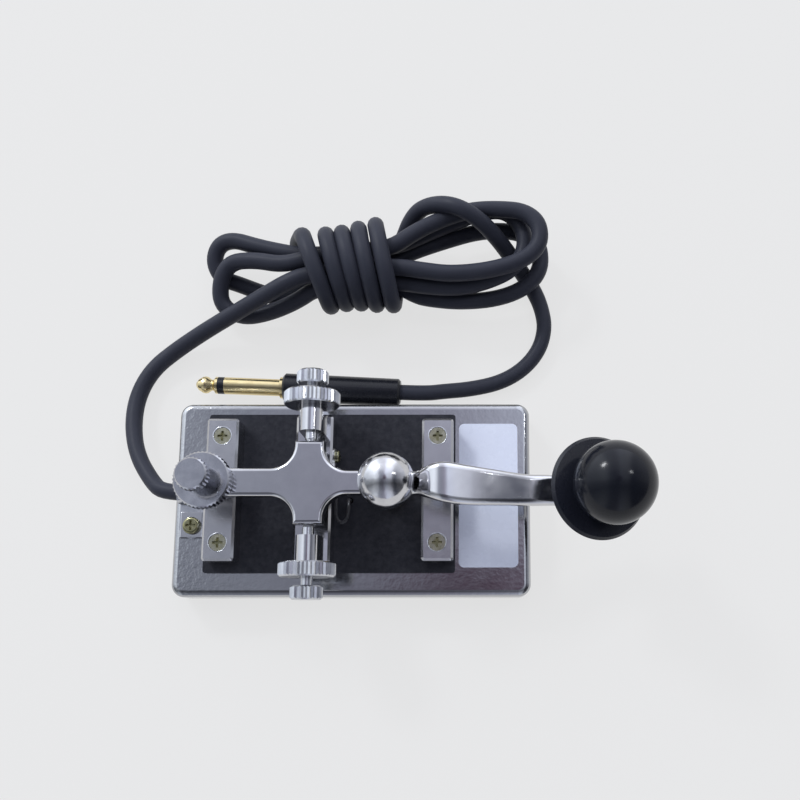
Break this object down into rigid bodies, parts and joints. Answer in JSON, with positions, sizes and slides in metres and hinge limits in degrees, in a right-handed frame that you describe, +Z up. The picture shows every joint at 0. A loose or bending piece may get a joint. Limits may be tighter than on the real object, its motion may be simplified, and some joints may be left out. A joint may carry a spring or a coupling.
{
  "type": "morse code key",
  "caption": "Straight hand key for Morse practice: sprung lever on point pivots between two contacts, mushroom knob, metal base, cable tied in a hank and a mono jack plug.",
  "frame": {"origin": "centre of the base on the surface it stands on", "axes": "+X from the cable end along the lever to the knob, +Y across the base to the operator's right, where the cable lies, +Z up"},
  "size_m": [0.1881, 0.1482, 0.0617],
  "materials": {
    "base_chrome": "polished",
    "lever_chrome": "polished casting",
    "nut_chrome": "polished",
    "bar_nickel": "satin nickel",
    "plate_black": "matt",
    "bush_white": "matt",
    "screw_zinc": "yellow zinc plated",
    "hidden_steel": "plain",
    "spring_steel": "drawn wire",
    "contact_silver": "fine",
    "brass": "turned",
    "knob_black": "polished",
    "label_white": "blank printed film",
    "pad_rubber": "matt",
    "cable_black": "soft satin",
    "wire_black": "satin",
    "wire_red": "satin",
    "plug_gold": "gold plated",
    "plug_black": "glossy"
  },
  "bodies": {
    "base": {"rubber_pad": "pad_rubber", "bottom_cover": "hidden_steel", "bottom_cover_screws": "screw_zinc", "base": "base_chrome", "insulating_plate": "plate_black", "insulating_bushes": "bush_white", "rear_contact_bar": "bar_nickel", "front_contact_bar": "bar_nickel", "rear_anvil": "contact_silver", "front_anvil": "contact_silver", "contact_bar_screws": "screw_zinc", "contact_bar_washers": "screw_zinc", "contact_bar_nuts": "screw_zinc", "pivot_bracket": "nut_chrome", "bracket_screws": "screw_zinc", "bracket_lug": "brass", "bracket_lug_screw": "screw_zinc", "bracket_wire": "wire_black", "front_bar_wire": "wire_red", "front_bar_lug": "brass", "spring_cup": "brass", "return_spring": "spring_steel", "blank_label": "label_white", "cable_clip": "bar_nickel", "cable_clip_screw": "screw_zinc", "cable_lead": "cable_black", "cable_hank": "cable_black", "cable_tail": "cable_black", "plug_barrel": "plug_black", "plug_sleeve": "plug_gold", "plug_insulator": "plug_black", "plug_tip": "plug_gold"},
    "lever": {"lever": "lever_chrome", "pivot_cups": "hidden_steel", "front_contact_stud": "contact_silver", "spring_seat": "brass", "knob_skirt": "knob_black", "knob_top": "knob_black", "knob_screw": "hidden_steel"},
    "spring_cap": {"spring_cap": "nut_chrome"},
    "rear_screw": {"rear_contact_screw": "nut_chrome"},
    "rear_nut": {"rear_lock_nut": "nut_chrome"},
    "left_screw": {"left_pivot_screw": "nut_chrome"},
    "right_screw": {"right_pivot_screw": "nut_chrome"},
    "left_nut": {"left_lock_nut": "nut_chrome"},
    "right_nut": {"right_lock_nut": "nut_chrome"}
  },
  "joints": [
    {"name": "key_rock", "type": "hinge", "parent": "base", "child": "lever", "pos_m": [-0.0115, 0.0018, 0.035], "axis": [0, 1, 0], "range_deg": [0, 1.6], "stiffness_Nm_per_rad": 1.2, "springref_deg": -5.73, "deforming": ["return_spring"]},
    {"name": "rear_screw_turn", "type": "hinge", "parent": "lever", "child": "rear_screw", "pos_m": [-0.0456, 0.0018, 0.038], "axis": [0, 0, 1], "continuous": true},
    {"name": "rear_nut_turn", "type": "hinge", "parent": "lever", "child": "rear_nut", "pos_m": [-0.0456, 0.0018, 0.0405], "axis": [0, 0, 1], "continuous": true},
    {"name": "spring_cap_turn", "type": "hinge", "parent": "lever", "child": "spring_cap", "pos_m": [0.0145, 0.0018, 0.041], "axis": [0, 0, 1], "continuous": true},
    {"name": "left_screw_turn", "type": "hinge", "parent": "base", "child": "left_screw", "pos_m": [-0.0115, -0.0256, 0.035], "axis": [0, -1, 0], "continuous": true},
    {"name": "right_screw_turn", "type": "hinge", "parent": "base", "child": "right_screw", "pos_m": [-0.0115, 0.0292, 0.035], "axis": [0, 1, 0], "continuous": true},
    {"name": "left_nut_turn", "type": "hinge", "parent": "base", "child": "left_nut", "pos_m": [-0.0115, -0.0267, 0.035], "axis": [0, -1, 0], "continuous": true},
    {"name": "right_nut_turn", "type": "hinge", "parent": "base", "child": "right_nut", "pos_m": [-0.0115, 0.0303, 0.035], "axis": [0, 1, 0], "continuous": true}
  ]
}
